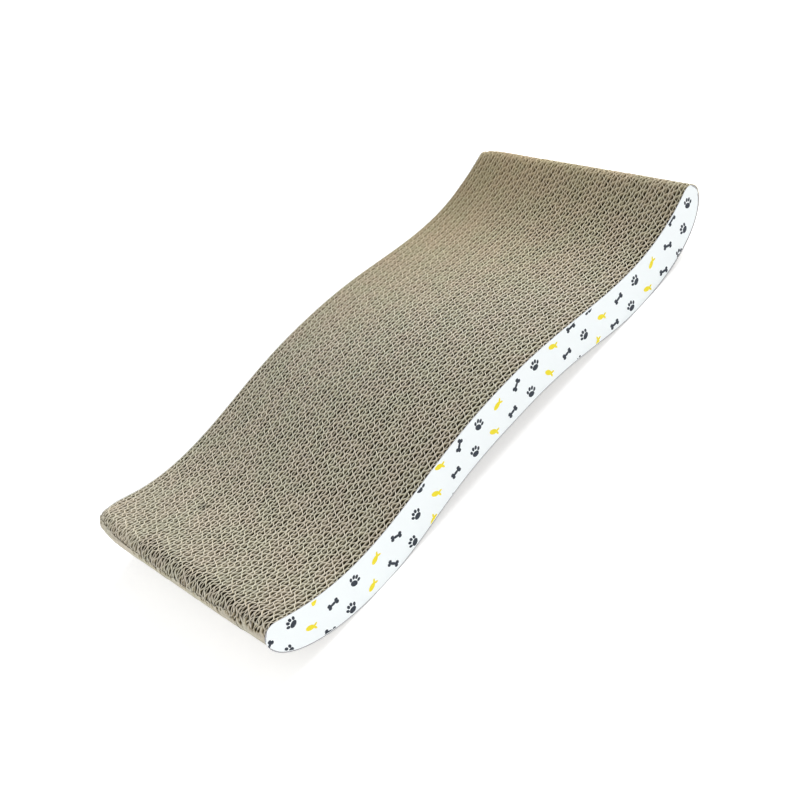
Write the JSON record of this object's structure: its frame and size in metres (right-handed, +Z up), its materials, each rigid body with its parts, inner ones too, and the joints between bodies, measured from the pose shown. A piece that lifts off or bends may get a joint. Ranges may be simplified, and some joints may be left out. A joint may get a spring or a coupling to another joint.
{
  "type": "cardboard cat scratcher",
  "caption": "Wave-shaped cat scratching pad of upright corrugated board strips glued side by side, with a thin printed sheet on each long side.",
  "frame": {"origin": "on the floor under the middle of the pad, at the centre of its length and width", "axes": "+X along the length from nose to nose, +Y across the strips from the front sheet to the back sheet, +Z up"},
  "size_m": [0.442, 0.209, 0.0463],
  "materials": {
    "corrugated_board": "matte brown kraft board, open flute ends on top and underneath",
    "printed_sheet": "matte white paper with a small scattered print"
  },
  "bodies": {
    "root": {"strip_01": "corrugated_board", "strip_02": "corrugated_board", "strip_03": "corrugated_board", "strip_04": "corrugated_board", "strip_05": "corrugated_board", "strip_06": "corrugated_board", "strip_07": "corrugated_board", "strip_08": "corrugated_board", "strip_09": "corrugated_board", "strip_10": "corrugated_board", "strip_11": "corrugated_board", "strip_12": "corrugated_board", "strip_13": "corrugated_board", "strip_14": "corrugated_board", "strip_15": "corrugated_board", "strip_16": "corrugated_board", "strip_17": "corrugated_board", "strip_18": "corrugated_board", "strip_19": "corrugated_board", "strip_20": "corrugated_board", "strip_21": "corrugated_board", "strip_22": "corrugated_board", "strip_23": "corrugated_board", "strip_24": "corrugated_board", "strip_25": "corrugated_board", "strip_26": "corrugated_board", "strip_27": "corrugated_board", "strip_28": "corrugated_board", "strip_29": "corrugated_board", "strip_30": "corrugated_board", "strip_31": "corrugated_board", "strip_32": "corrugated_board", "strip_33": "corrugated_board", "strip_34": "corrugated_board", "side_sheet_front": "printed_sheet", "side_sheet_back": "printed_sheet"}
  },
  "joints": []
}
